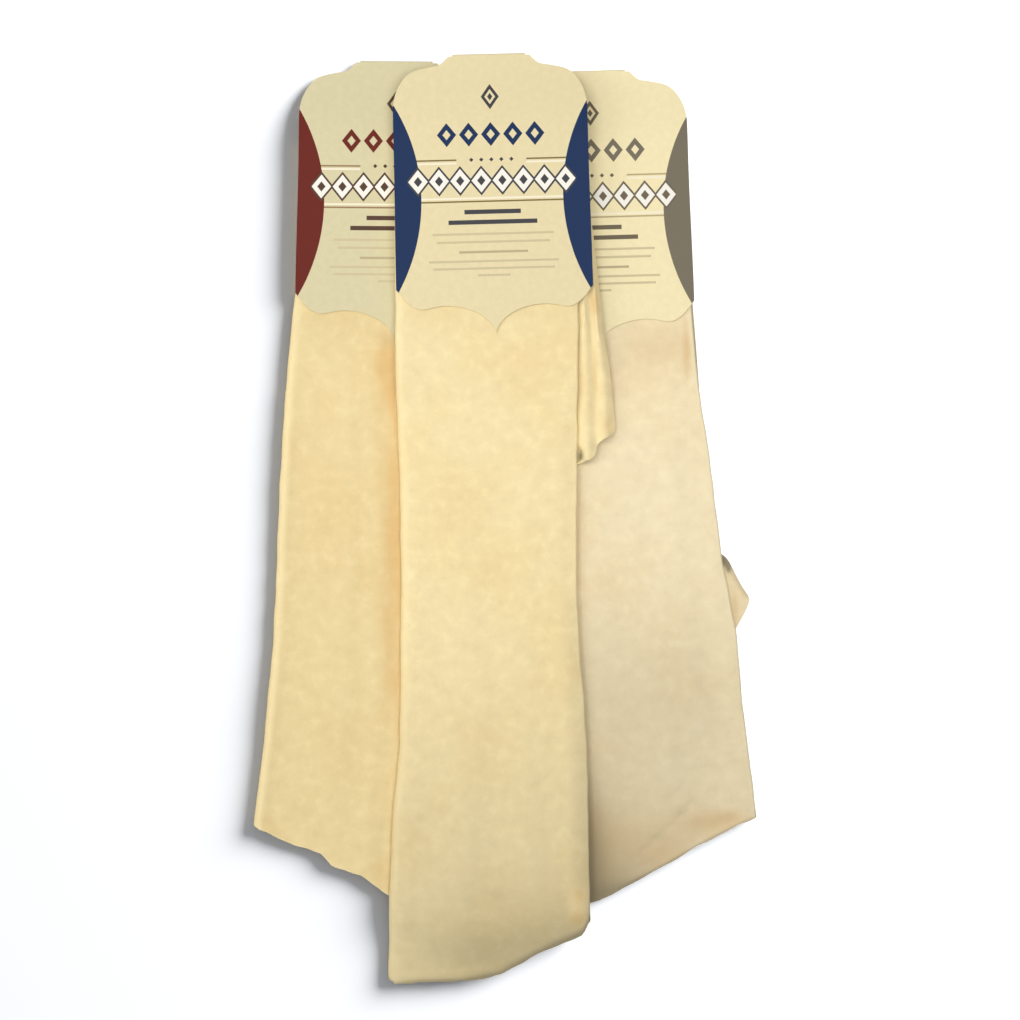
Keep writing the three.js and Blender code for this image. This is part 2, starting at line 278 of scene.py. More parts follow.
def edge_at(points, place, soft=0.007):
    """An edge of a strip at places down it, with the corners of its outline softened."""
    places_down, reaches = zip(*points)
    return sum(np.interp(place + shift, places_down, reaches) for shift in (-soft, 0, soft)) / 3


def stations(pack, rows):
    """Shares of the way down a strip, closer together where its outline is fine."""
    even = np.linspace(0, 1, 500)
    dense = 1 + sum(2.5 * (abs(even - middle) < reach) for middle, reach in skins[pack]["fine"])
    total = np.concatenate([[0], np.cumsum((dense[1:] + dense[:-1]) / 2)])
    return np.interp(np.linspace(0, total[-1], rows), total, even)


def fold_path():
    """The way round the folded section, from the free edge underneath to the one inside.

    Each place has its share across the strip, its offset, its height, its layer, and how
    far out on the standing-out part of the lowest layer it is.
    """
    levels = [LEATHER / 2 + layer * LAYER_STEP for layer in range(4)]
    path = []

    def flat(shares, layer):
        path.extend((share, 0, levels[layer], layer, 0) for share in shares)

    def bend(across, wide, high, start, end, first, last, steps):
        middle = (levels[first] + levels[last]) / 2
        for step in range(steps + 1):
            angle = math.radians(start + (end - start) * step / steps)
            layer = first + (last - first) * step / steps
            level = middle + high * math.sin(angle)
            path.append((across, wide * math.cos(angle), level, layer, 0))

    path.extend((SEAM, 0, levels[0], 0, leg) for leg in np.linspace(1, 1 / 16, 16))
    flat(np.linspace(SEAM, 0.06, 16), 0)
    bend(0, ROLL, 1.5 * LAYER_STEP, -90, -270, 0, 3, 12)
    flat(np.linspace(0, 1, 62)[1:-1], 3)
    bend(1, LAYER_STEP / 2, LAYER_STEP / 2, 90, -90, 3, 2, 7)
    flat(np.linspace(0.97, 0.03, 16), 2)
    bend(0, LAYER_STEP / 2, LAYER_STEP / 2, 90, 270, 2, 1, 7)
    flat(np.linspace(0.03, 0.95, 18), 1)
    return np.array(path).T


def strip_side(pack, side, spare):
    """The edge of a strip as world places: how far right it is, for places up the table."""
    skin = skins[pack]
    place = np.linspace(0, 1, 120)
    x = edge_at(skin[side], place) * STRIP_WIDTH + spare
    y = [-(TOP_DROP + share * skin["length"]) for share in place]
    points = [places[pack] @ Vector((a * MM, b * MM, 0)) for a, b in zip(x, y)]
    right = np.array([(p.y, p.x) for p in points][::-1]) / MM
    return lambda y: np.interp(y, right[:, 0], right[:, 1])


left_of_front = strip_side("blue", "fold", 0)
right_of_front = strip_side("blue", "open", 0)
right_of_tail = strip_side("blue", "under", 1)


def past_front(pack, x, y):
    """How many millimetres a place on a side leather is clear of the front strip."""
    spot = places[pack].to_translation() / MM
    turn = places[pack].to_euler().z
    world_x = spot.x + x * math.cos(turn) - y * math.sin(turn)
    world_y = spot.y + x * math.sin(turn) + y * math.cos(turn)
    if pack == "red":
        return left_of_front(world_y) - world_x
    if pack == "brown":
        return world_x - np.maximum(right_of_front(world_y), right_of_tail(world_y))
    return np.full_like(x, 99.0)


def settle(pack, drop):
    """How far a strip has come down from its height inside the card."""
    if pack != "blue":
        return IN_CARD * ease(drop, CARD_END, 24)
    return FRONT_DROP * ease(drop, CARD_END, 40)


def lay_out(pack):
    """A skin in its folds: rows of points down the strip, each once round the section."""
    skin = skins[pack]
    seed = skin["seed"]
    across, along, height, layer, leg = fold_path()
    hem = edge_at(skin["hem"], across) * np.interp(layer, range(4), skin["layers"])
    ragged = ripple(across * 14, layer * 7, 1, 1, seed) * 0.0022
    place = stations(pack, SKIN_ROWS)[:, None] * (hem + ragged)
    drop = TOP_DROP + place * skin["length"]
    left = edge_at(skin["fold"], place) * STRIP_WIDTH + 0.35 * wander(drop, 13, seed + 1)
    right = edge_at(skin["open"], place) * STRIP_WIDTH + 0.35 * wander(drop, 11, seed + 2)
    start, end = left + LEATHER / 2 + ROLL, right - LEATHER / 2 - LAYER_STEP / 2
    x = start + across * (end - start) + along

    # The part of the lowest layer that stands out past its seam
    reach = edge_at(skin["under"], place, 0.003) * STRIP_WIDTH
    x = np.where(leg > 0, x + leg * np.maximum(reach - x, 0.5), x)
    y, z = -drop, IN_CARD + height - settle(pack, drop)
    return SimpleNamespace(
        skin=skin, seed=seed, layer=layer, leg=leg, place=place, hem=hem, drop=drop,
        left=left, right=right, reach=reach, x=x, y=y, z=z, slot=np.zeros_like(x),
        clearance=past_front(pack, x, y),
        pressed_in=sum(ridge(x, y, *crease) for crease in creases[pack]),
    )


def rumple_tail(lay):
    """Two soft rolls in the tail beside the front card, with a slot along the strip that painted
    shade darkens.
    """
    whole = edge_at(lay.skin["under"][:7], lay.place) * STRIP_WIDTH - lay.right
    past = lay.x - lay.right
    share = past / np.maximum(whole, 1) + 0.03 * wander(lay.drop, 16, 2.2)
    rolls = 0.76 + 0.24 * np.cos(2 * math.pi * (share - 0.27) / 0.5)
    rolls = rolls * (1 - 0.8 * ease(share, 0.84, 0.2)) * (1 + 0.2 * wander(lay.drop, 22, 7.7))
    wider = ease(lay.place, 0.362, 0.012)
    clear = (0.9 - 0.8 * wider) * ease(past, -0.9, 0.9)
    clear = clear + (0.1 + 0.8 * wider) * ease(past, 2 * wider, 1.5)
    size = TAIL_ROLL * ease(whole, 3, 6) * (lay.leg > 0)
    lay.z = lay.z + size * clear * rolls
    # Painted shade in the slot beside the strip
    lay.slot = 0.1 * (lay.leg > 0) * (1 - ease(past, 0.4, 1.6)) * ease(whole, 3, 3)


def soften(pack, lay):
    """Soft waves in the layers, none where the card or the front strip presses on them."""
    x, y, drop, seed, clearance = lay.x, lay.y, lay.drop, lay.seed, lay.clearance
    on_top = lay.layer > 2.9
    free = ease(drop, CARD_END, 28) * ease(clearance, 1, 14)
    wave = 0.7 * (0.5 + 0.5 * ripple(x, y, 46, 70, seed))
    wave = wave + 0.28 * (0.5 + 0.5 * ripple(x, y, 15, 34, seed + 9))
    wave = wave + lay.pressed_in
    puff = fold_puff[pack] * hump(x - lay.left, 8) * (0.7 + 0.4 * wander(drop, 60, seed + 4))
    near = ease(clearance, -1.2, 1.7) if pack == "red" else ease(clearance, 1, 3)
    beside = BESIDE_PUFF * near * (1 - ease(clearance, 6, 16)) * ease(drop, 190, 30)
    beside = beside * (pack != "blue")
    lift = (free * (wave + puff) + beside) * lay.layer / 3
    fine = 0.06 * ripple(x, y, 5, 9, seed + 5) + 0.05 * ripple(x, y, 2.6, 5, seed + 6)
    curl = ease(lay.place, lay.hem - 0.016, 0.016)
    curl = curl * (0.5 + 0.5 * ripple(x, y, 18, 18, seed + 7)) * 0.9
    lay.z = lay.z + lift + free * on_top * fine + free * curl * on_top


def press_brown(lay):
    """Flattens the lower end beside the front strip, and lifts the flap at the right edge."""
    lay.z = lay.z * (1 - 0.5 * ease(lay.drop, 345, 70) * (1 - ease(lay.clearance, 0, 26)))
    lay.z = lay.z + FLAP_LIFT * ease(lay.leg, 0, 0.4) * ease(lay.drop, 243, 12)


def press_blue(lay):
    """Thins the edges, and lets the lower end droop past the hems of the strips under it."""
    at_right = ease(lay.x, lay.right - 10, 10) * (lay.leg == 0)
    thin = np.maximum(at_right, ease(-lay.x, -lay.left - 8, 8)) * ease(lay.drop, 170, 20)
    lay.z = lay.z - thin * (0.3 + 0.3 * lay.layer)
    from_left = np.clip(lay.x - lay.left, 0, 40)
    lay.z = lay.z - END_DROOP * ease(lay.drop - 0.25 * from_left, END_DROOP_FROM, 28)


def wear_and_painted_light(pack, lay):
    """Tanned, dusky and pale marks on a leather, with its painted highlights and painted shade."""
    x, y, drop, leg, clearance = lay.x, lay.y, lay.drop, lay.leg, lay.clearance
    from_left, from_right = x - lay.left, lay.right - x
    to_hem = (lay.hem - lay.place) * lay.skin["length"]
    fold_share = 0.6 if pack == "blue" else 0.9
    edge_share = 1.0 if pack == "brown" else 0.6
    # Paler along the outer fold and the cut edges, partly worn and partly painted highlight. Along
    # the red hem's cut edge and on the tops of the creases it is painted highlight.
    rubbed_and_highlit = fold_share * hump(from_left - 2.4, 2.4) + edge_share * hump(from_right, 2) * (leg == 0)
    rubbed_and_highlit += (pack == "red") * 0.9 * hump(to_hem, 0.9) + 0.7 * np.maximum(lay.pressed_in, 0)

    tanned_and_shaded = spots(x, y, tan_and_shade_spots[pack])
    # Painted shade in the slot beside the tail and along the creases, on top of the listed spots
    dusky_and_shade = spots(x, y, dusky_and_shade_spots[pack]) + lay.slot + 0.1 * abs(lay.pressed_in)
    if pack == "red":
        # An orange tan band on the red leather beside the front strip, fading further down it
        orange_band = 0.8 * ease(clearance, -0.4, 2) * (1 - ease(clearance, 2, 15))
        orange_band = orange_band * ease(drop, CARD_END, 10) * (1 + 0.6 * ripple(x, y, 7, 20, 1.7))
        tanned_and_shaded += orange_band * (1 - 0.75 * ease(drop, 270, 100))
    if pack == "brown":
        near = np.maximum(clearance, 0)
        # Painted warm and dusky shade on the brown leather beside the front strip's lower end
        shade_beside_front = ease(drop, 330, 75) * np.exp(-near / (8 + 9 * ease(drop, 350, 60)))
        tanned_and_shaded += 0.2 * ease(leg, 0, 0.3)
        tanned_and_shaded += 1.1 * shade_beside_front
        # Painted shade, darker towards the lower end
        shaded = 0.14 * ease(drop, 215, 60) + 0.2 * ease(drop, 250, 70)
        dusky_and_shade += 0.46 * shade_beside_front + shaded * (1 - 0.25 * ease(clearance, 45, 30))
        # Painted shade in the corner by the hem, beside the front strip
        dusky_and_shade += 0.65 * np.exp(-np.maximum(to_hem, 0) / 5) * hump(near, 24)
        # Painted shade along the flap's top edge, beside the strip's edge
        flap_edge_shade = 0.4 * (leg > 0.2) * hump(lay.reach - x, 2.5)
        dusky_and_shade += flap_edge_shade * (1 - ease(lay.place, 0.59, 0.01))
    if pack == "blue":
        at_fold = 0.5 * hump(from_left - 0.5, 2.2) * ease(drop, CARD_END, 20)
        tanned_and_shaded += at_fold * (1 - ease(drop, 410, 35))
        # Painted shade: darker towards the lower end, and more so towards the right at the very end
        lower_end_shade = 0.18 * ease(drop, 395, 60) * (0.2 + 1.6 * from_left / 95)
        dusky_and_shade += 0.3 * ease(drop, 220, 200) + lower_end_shade
        dusky_and_shade += 0.17 * hump(from_right, 7) * ease(drop, 250, 40) * (leg == 0)
        dusky_and_shade += (0.05 + 0.35 * from_left / 95) * hump(to_hem, 3)
    # Painted shadow of the card on the leather under and just below its lower edge; the front and
    # brown strips are also darker along the hem
    card_shade = 0.06 if pack == "brown" else 0.16
    dusky_and_shade += (pack != "red") * 0.3 * hump(to_hem, 1.1) + card_shade * (1 - ease(drop, 132, 30))
    return {"rubbed_and_highlit": rubbed_and_highlit, "tanned_and_shaded": tanned_and_shaded, "dusky_and_shade": dusky_and_shade}


def shape_skin(pack):
    """The mesh of a skin, with its flat size and its area."""
    lay = lay_out(pack)
    if pack == "blue":
        rumple_tail(lay)
    soften(pack, lay)
    if pack == "brown":
        press_brown(lay)
    if pack == "blue":
        press_blue(lay)

    count = lay.x.shape[1]
    faces = [
        (first, first + count, first + count + 1, first + 1)
        for row in range(SKIN_ROWS - 1)
        for first in range(row * count, (row + 1) * count - 1)
    ]
    points = np.stack([lay.x, lay.y, lay.z], axis=-1).reshape(-1, 3) * MM
    mesh = bpy.data.meshes.new(f"{pack}_leather")
    mesh.from_pydata(points.tolist(), [], faces)
    mesh.transform(places[pack])

    # The flat cut of the skin, so that its mottling runs on round the folds
    deltas = np.hypot(np.diff(lay.x, axis=1), np.diff(lay.z, axis=1))
    developed = np.concatenate([np.zeros((SKIN_ROWS, 1)), np.cumsum(deltas, axis=1)], axis=1)
    from_start = developed - developed[:, CUT_START:CUT_START + 1]
    flat = np.stack([from_start, lay.y], axis=-1).reshape(-1, 2) * MM
    corners = np.empty(len(mesh.loops), int)
    mesh.loops.foreach_get("vertex_index", corners)
    cut = mesh.uv_layers.new(name="flat_cut")
    cut.data.foreach_set("uv", flat[corners].ravel())
    for name, values in wear_and_painted_light(pack, lay).items():
        marking = mesh.attributes.new(name, "FLOAT", "POINT")
        marking.data.foreach_set("value", np.clip(values, 0, 1).ravel())

    area = sum(polygon.area for polygon in mesh.polygons)
    length = (lay.place * lay.skin["length"]).max()
    return mesh, (float(developed[:, -1].max()) * MM, float(length) * MM), area


def put(tree, kind, sockets=None, **settings):
    """Adds a node with its settings, its inputs set to values or joined to other nodes."""
    made = tree.nodes.new(kind)
    for name, value in settings.items():
        setattr(made, name, value)
    for name, value in (sockets or {}).items():
        if isinstance(value, bpy.types.NodeSocket):
            tree.links.new(value, made.inputs[name])
        else:
            made.inputs[name].default_value = value
    return made


def tint(*on_screen):
    """A colour from its red, green and blue as a screen shows them, 0 to 255."""
    shares = [value / 255 for value in on_screen]
    return (*(((c + 0.055) / 1.055) ** 2.4 if c > 0.04 else c / 12.92 for c in shares), 1)


def blend_tint(tree, share, first, second):
    made = put(tree, "ShaderNodeMix", {0: share, 6: first, 7: second}, data_type="RGBA")
    return made.outputs[2]


def work_out(tree, operation, *values):
    made = put(tree, "ShaderNodeMath", dict(enumerate(values)), operation=operation)
    return made.outputs[0]


def band(tree, value, low, high, top=1.0):
    """From 0 to top, softly, as a value goes from low to high."""
    made = put(
        tree, "ShaderNodeMapRange",
        {"Value": value, "From Min": low, "From Max": high, "To Min": 0.0, "To Max": top},
        interpolation_type="SMOOTHSTEP",
    )
    return made.outputs["Result"]


def speckle(tree, where, scale, detail=3.0, rough=0.55):
    sockets = {"Vector": where, "Scale": scale, "Detail": detail, "Roughness": rough}
    return put(tree, "ShaderNodeTexNoise", sockets).outputs["Fac"]


def new_finish(name):
    material = bpy.data.materials.new(name)
    material.use_nodes = True
    return material, material.node_tree


def coat(tree, colour, relief, strength, depth, gloss):
    """Gives a finish its colour, its fine relief and the way it takes the light."""
    surface = tree.nodes["Principled BSDF"]
    bump = put(
        tree, "ShaderNodeBump", {"Height": relief, "Strength": strength, "Distance": depth},
    )
    tree.links.new(colour, surface.inputs["Base Color"])
    tree.links.new(bump.outputs["Normal"], surface.inputs["Normal"])
    for name, value in gloss.items():
        surface.inputs[name].default_value = value


def suede(name, hide, warm, pale, tan, dusk):
    material, tree = new_finish(name)
    where = put(tree, "ShaderNodeUVMap", uv_map="flat_cut").outputs["UV"]
    rubbed_and_highlit, tanned_and_shaded, dusky_and_shade = (
        put(tree, "ShaderNodeAttribute", attribute_name=marking).outputs["Fac"]
        for marking in ("rubbed_and_highlit", "tanned_and_shaded", "dusky_and_shade")
    )
    cloud = speckle(tree, where, 17.0, 4.0)
    mottle = speckle(tree, where, 75.0, 5.0, 0.62)
    grain = speckle(tree, where, 150.0, 3.0, 0.55)
    fibre = speckle(tree, where, 900.0, 3.0, 0.6)
    nap = speckle(tree, where, 3200.0, 2.0)
    colour = hide
    # The hide's own mottling and grain, then the marks: tanned spots and painted warm shade,
    # paleness and painted highlights, and dusky spots and painted shade
    for pattern, low, high, top, paint in (
        (cloud, 0.4, 0.7, 0.6, warm), (mottle, 0.5, 0.75, 0.35, pale),
        (mottle, 0.44, 0.28, 0.2, warm), (grain, 0.48, 0.72, 0.45, pale),
        (grain, 0.5, 0.28, 0.06, dusk), (tanned_and_shaded, 0.0, 1.0, 0.6, tan),
        (rubbed_and_highlit, 0.1, 1.0, 0.7, pale), (fibre, 0.55, 0.36, 0.04, tan),
        (dusky_and_shade, 0.0, 1.0, 0.9, dusk),
    ):
        colour = blend_tint(tree, band(tree, pattern, low, high, top), colour, paint)
    relief = work_out(tree, "MULTIPLY_ADD", fibre, 0.6, nap)
    coat(tree, colour, relief, 0.3, 0.0004, {
        "Roughness": 0.93, "Specular IOR Level": 0.18,
        "Sheen Weight": 0.1, "Sheen Roughness": 0.6, "Sheen Tint": pale,
    })
    return material


def finish_with(piece, kind, **settings):
    """Gives a piece a modifier and applies it."""
    bpy.ops.object.select_all(action="DESELECT")
    bpy.context.view_layer.objects.active = piece
    piece.select_set(True)
    modifier = piece.modifiers.new(kind.title(), kind)
    for name, value in settings.items():
        setattr(modifier, name, value)
    bpy.ops.object.modifier_apply(modifier=modifier.name)


# Colours of each hide: the hide itself, warmer and paler patches, and tanned spots. The paler
# one also paints the highlights, and the tanned one the warm part of the painted shade
hides = {
    "red": (tint(233, 212, 159), tint(229, 203, 146), tint(243, 224, 174), tint(216, 172, 106)),
    "brown": (tint(240, 224, 186), tint(236, 214, 171), tint(248, 234, 196), tint(214, 176, 120)),
    "blue": (tint(241, 222, 172), tint(237, 211, 154), tint(250, 233, 182), tint(220, 182, 118)),
}
cut_edge = (tint(232, 212, 164), tint(222, 196, 144), tint(242, 228, 188), tint(204, 168, 112))
# A dark brown for fine flecks in the grain and for the painted shade
dusk = tint(136, 127, 102)
raw_edge = suede("chamois_cut_edge", *cut_edge, dusk)
for pack in PACKS:
    skin_mesh, cut_size, cut_area = shape_skin(pack)
    leather = bpy.data.objects.new(f"{pack}_leather", skin_mesh)
    bpy.context.collection.objects.link(leather)
    leather.data.materials.append(suede(f"chamois_{pack}", *hides[pack], dusk))
    leather.data.materials.append(raw_edge)
    finish_with(leather, "SOLIDIFY", thickness=LEATHER * MM, offset=0, material_offset_rim=1)
    bpy.ops.object.shade_smooth_by_angle(angle=math.radians(50))
    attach(leather, f"{pack}_pack")
    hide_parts(f"{pack}_chamois")

# The header cards: printed board of 0.5 mm, die-cut to one outline, folded over along the
# flat top of the lobe and glued to the leather on both sides. The back leaf lies flat, the
# front leaf rises over the leather, and both are a little wider at their lower end.
BOARD = 0.5
FOLD_RADIUS = 0.75
HALF_CARD = 48.5
CARD_HEIGHT = 140
LOBE_END = 0.375

# The front leaf's height over the leather, and how far its lower end is pressed in
FRONT_LEVEL = 7.2
FRONT_PRESSED = 0.6

# How much wider a card is at its lower end, as a share of its width
card_flare = {"red": 0.022, "brown": 0.022, "blue": 0.012}

# Half of the outline as curves, in shares of half the width and of the height
top_curves = [
    [(0.375, 0), (0.43, 0), (0.46, 0.034), (0.54, 0.04)],
    [(0.54, 0.04), (0.62, 0.045), (0.7, 0.049), (0.773, 0.057)],
    [(0.773, 0.057), (0.87, 0.068), (0.985, 0.116), (1, 0.193)],
]
bottom_curves = [
    [(0, 1), (0.06, 0.93), (0.3, 0.9), (0.515, 0.9)],
    [(0.515, 0.9), (0.62, 0.9), (0.69, 0.915), (0.763, 0.911)],
    [(0.763, 0.911), (0.865, 0.905), (0.95, 0.86), (1, 0.839)],
]


def cut_line(curves, steps):
    points = []
    for curve in curves:
        for t in (step / steps for step in range(steps + 1)):
            s = 1 - t
            pulls = (s**3, 3 * s * s * t, 3 * s * t * t, t**3)
            points.append([sum(p * v for p, v in zip(pulls, values)) for values in zip(*curve)])
    return np.array(points) * (HALF_CARD, CARD_HEIGHT)


def spaced(values, least):
    """The values in order, without those that lie closer together than the least gap."""
    kept = [0.0]
    for value in sorted(values):
        if value - kept[-1] >= least:
            kept.append(value)
    kept[-1] = HALF_CARD
    return kept


top_line, bottom_line = cut_line(top_curves, 60), cut_line(bottom_curves, 60)
lobe_columns = np.linspace(0, LOBE_END * HALF_CARD, 9)
curve_columns = [*cut_line(top_curves, 12)[:, 0], *cut_line(bottom_curves, 9)[:, 0]]
half_columns = spaced([*lobe_columns, *curve_columns], 0.22)
columns = [-at for at in reversed(half_columns[1:])] + half_columns
lobe_edge = min(half_columns, key=lambda at: abs(at - LOBE_END * HALF_CARD))
back_rows, fold_rows, front_rows = 18, 9, 40
fold_start = BOARD / 2 + FOLD_RADIUS

# Millimetres to one unit of the map that the print is laid out on
PRINT = 100


def front_height(drop):
    first = BOARD / 2 + 2 * FOLD_RADIUS
    risen = (FRONT_LEVEL - first) * ease(drop, fold_start, TOP_DROP - fold_start)
    return first + risen - FRONT_PRESSED * ease(drop, 96, 40)


def card_place(x, row):
    """The drop and height of a place on the blank, and its leaf: -1 at the back, 1 in front."""
    top = max(float(np.interp(abs(x), top_line[:, 0], top_line[:, 1])), fold_start)
    if abs(x) <= lobe_edge + 0.01:
        top = fold_start
    bottom = float(np.interp(abs(x), bottom_line[:, 0], bottom_line[:, 1]))
    if row < back_rows:
        return bottom + (top - bottom) * row / (back_rows - 1), BOARD / 2, -1
    if row < back_rows + fold_rows:
        angle = math.pi * (row - back_rows + 1) / (fold_rows + 1)
        drop = fold_start - FOLD_RADIUS * math.sin(angle)
        return drop, BOARD / 2 + FOLD_RADIUS * (1 - math.cos(angle)), 1
    drop = top + (bottom - top) * (row - back_rows - fold_rows) / (front_rows - 1)
    return drop, float(front_height(drop)), 1


def shape_card(pack):
    """The blank as a grid that is bent to its outline and its fold, and cut at the lobe."""
    rows, across = back_rows + fold_rows + front_rows, len(columns)
    bpy.ops.object.select_all(action="DESELECT")
    bpy.ops.mesh.primitive_grid_add(x_subdivisions=across - 1, y_subdivisions=rows - 1, size=2)
    card = bpy.context.object
    card.name = card.data.name = f"{pack}_header"
    printed, row_of = {}, {}
    for vertex in card.data.vertices:
        x = columns[round((vertex.co.x + 1) / 2 * (across - 1))]
        row = row_of[vertex.index] = round((1 - vertex.co.y) / 2 * (rows - 1))
        drop, z, leaf = card_place(x, row)
        flare = 1 + card_flare[pack] * float(ease(drop, 45, 75))
        vertex.co = (x * flare * MM, -drop * MM, z * MM)
        printed[vertex.index] = (x / PRINT, leaf * drop / PRINT)
    layer = card.data.uv_layers.active or card.data.uv_layers.new()
    layer.name = "card_face"
    for loop in card.data.loops:
        layer.data[loop.index].uv = printed[loop.vertex_index]

    # The fold joins the leaves only along the lobe, so it is cut away beside it
    fold = set(range(back_rows, back_rows + fold_rows))
    bpy.ops.object.mode_set(mode="EDIT")
    bpy.ops.mesh.select_mode(type="FACE")
    bpy.ops.mesh.select_all(action="DESELECT")
    bpy.ops.object.mode_set(mode="OBJECT")
    for polygon in card.data.polygons:
        in_fold = {row_of[corner] for corner in polygon.vertices} & fold
        polygon.select = bool(in_fold and abs(polygon.center.x) > lobe_edge * MM)
    bpy.ops.object.mode_set(mode="EDIT")
    bpy.ops.mesh.delete(type="FACE")
    bpy.ops.object.mode_set(mode="OBJECT")
    card.data.transform(places[pack])
    return card


def bar(tree, x, y, middle, drop, wide, high):
    """A plain printed bar, sizes in millimetres."""
    off_x = work_out(tree, "ABSOLUTE", work_out(tree, "SUBTRACT", x, middle / PRINT))
    off_y = work_out(tree, "ABSOLUTE", work_out(tree, "SUBTRACT", y, drop / PRINT))
    in_x = work_out(tree, "LESS_THAN", off_x, wide / (2 * PRINT))
    in_y = work_out(tree, "LESS_THAN", off_y, high / (2 * PRINT))
    return work_out(tree, "MULTIPLY", in_x, in_y)


def lozenges(tree, x, y, drop, count, spacing, wide, high):
    """A row of lozenges, as how far out of its own lozenge each place is: under 1 is inside."""
    half_space = spacing / (2 * PRINT)
    shifted = work_out(tree, "SUBTRACT", x, 0.0 if count % 2 else half_space)
    local = work_out(tree, "ABSOLUTE", work_out(tree, "WRAP", shifted, half_space, -half_space))
    off_y = work_out(tree, "ABSOLUTE", work_out(tree, "SUBTRACT", y, drop / PRINT))
    share_x = work_out(tree, "DIVIDE", local, wide / (2 * PRINT))
    share_y = work_out(tree, "DIVIDE", off_y, high / (2 * PRINT))
    past = work_out(tree, "GREATER_THAN", work_out(tree, "ABSOLUTE", x), count * half_space)
    beyond = work_out(tree, "MULTIPLY", past, 9.0)
    return work_out(tree, "ADD", work_out(tree, "ADD", share_x, share_y), beyond)


# The solid half-lens at each side: middle, drop and radius of its round edge
LENS = (128.8, 72.8, 93.6)

# Rules and bars on the card: middle, drop, width, height
rules = [(-27.4, 53.6, 20, 0.8), (27.4, 53.6, 20, 0.8), (0, 74.4, 74, 0.8)]
pale_rules = [(-27.4, 55.2, 20, 0.9), (27.4, 55.2, 20, 0.9), (0, 72.8, 74, 0.9)]
bold_bars = [(0, 79.6, 28, 2.2), (0, 84.7, 44, 2.2)]
mid_bars = [(0, 99.6, 34, 1.2)]
light_bars = [
    (0, 90.6, 60, 1.1), (0, 94.6, 56, 1.1), (0, 104.2, 64, 1.1), (0, 107.8, 60, 1.1),
    (0, 111.2, 16, 1.1),
]
pale_rule, mid_bar, light_bar = tint(240, 231, 206), tint(184, 170, 134), tint(202, 188, 150)


def printed_board(name, stock, lens, ink, rule):
    material, tree = new_finish(name)
    face = put(tree, "ShaderNodeUVMap", uv_map="card_face").outputs["UV"]
    split = put(tree, "ShaderNodeSeparateXYZ", {"Vector": face})
    x, y = split.outputs["X"], split.outputs["Y"]
    paper = speckle(tree, face, 30.0, 4.0)
    fibres = speckle(tree, face, 900.0, 2.0)
    bright = tuple(min(1, part * 1.08) for part in stock)
    colour = blend_tint(tree, band(tree, paper, 0.35, 0.7, 0.5), stock, bright)
    colour = blend_tint(tree, band(tree, fibres, 0.6, 0.35, 0.06), colour, tint(200, 180, 130))

    middle, drop, radius = (size / PRINT for size in LENS)
    off = work_out(tree, "SUBTRACT", work_out(tree, "ABSOLUTE", x), middle)
    over = work_out(tree, "SUBTRACT", work_out(tree, "ABSOLUTE", y), drop)
    squares = [work_out(tree, "MULTIPLY", part, part) for part in (off, over)]
    reach = work_out(tree, "SQRT", work_out(tree, "ADD", *squares))
    in_lens = work_out(tree, "LESS_THAN", reach, radius)
    between = work_out(tree, "SUBTRACT", 1.0, in_lens)
    colour = blend_tint(tree, in_lens, colour, lens)

    for listed, paint in ((rules, rule), (pale_rules, pale_rule)):
        for sizes in listed:
            clear = work_out(tree, "MULTIPLY", bar(tree, x, y, *sizes), between)
            colour = blend_tint(tree, clear, colour, paint)

    # Plain ornaments, each painted from its rim inwards: a small lozenge on top, a row of
    # five, dots between the upper rules, and a chain under them
    for row, rings in (
        ((22, 1, 20, 9, 13), ((1.0, ink), (0.6, stock), (0.3, ink))),
        ((41, 5, 11, 9.6, 12), ((1.0, lens), (0.42, stock))),
        ((53.6, 5, 5, 2.2, 2.2), ((1.0, ink),)),
        ((64, 8, 10.5, 12.2, 15), ((1.0, ink), (0.8, tint(240, 236, 226)), (0.34, ink))),
    ):
        out_of = lozenges(tree, x, y, *row)
        for share, paint in rings:
            colour = blend_tint(tree, work_out(tree, "LESS_THAN", out_of, share), colour, paint)

    for listed, paint in ((bold_bars, ink), (light_bars, light_bar), (mid_bars, mid_bar)):
        for sizes in listed:
            colour = blend_tint(tree, bar(tree, x, y, *sizes), colour, paint)
    coat(tree, colour, fibres, 0.06, 0.0002, {"Roughness": 0.5, "Specular IOR Level": 0.1})
    return material


def raw_board(name, tone, fleck):
    material, tree = new_finish(name)
    where = put(tree, "ShaderNodeTexCoord").outputs["Object"]
    pulp = speckle(tree, where, 1400.0, 4.0, 0.65)
    colour = blend_tint(tree, band(tree, pulp, 0.4, 0.7, 0.6), tone, fleck)
    coat(tree, colour, pulp, 0.2, 0.0002, {"Roughness": 0.85, "Specular IOR Level": 0.25})
    return material


# Colours of each print: the board, the lenses, the ornaments and the rules
prints = {
    "red": (tint(210, 201, 163), tint(102, 36, 28), tint(84, 62, 50), tint(150, 122, 92)),
    "brown": (tint(236, 223, 179), tint(117, 109, 93), tint(108, 98, 80), tint(178, 164, 126)),
    "blue": (tint(224, 210, 168), tint(26, 47, 84), tint(66, 66, 70), tint(124, 108, 66)),
}
board_back = raw_board("board_lining", tint(226, 216, 190), tint(200, 188, 160))
board_edge = raw_board("board_cut_edge", tint(232, 222, 192), tint(196, 180, 146))
for pack in PACKS:
    header = shape_card(pack)
    for finish in (printed_board(f"card_{pack}", *prints[pack]), board_back, board_edge):
        header.data.materials.append(finish)
    finish_with(
        header, "SOLIDIFY", thickness=BOARD * MM, offset=0, use_even_offset=True,
        material_offset=1, material_offset_rim=2,
    )
    bpy.ops.object.shade_smooth_by_angle(angle=math.radians(40))
    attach(header, f"{pack}_header")
    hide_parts(f"{pack}_card")

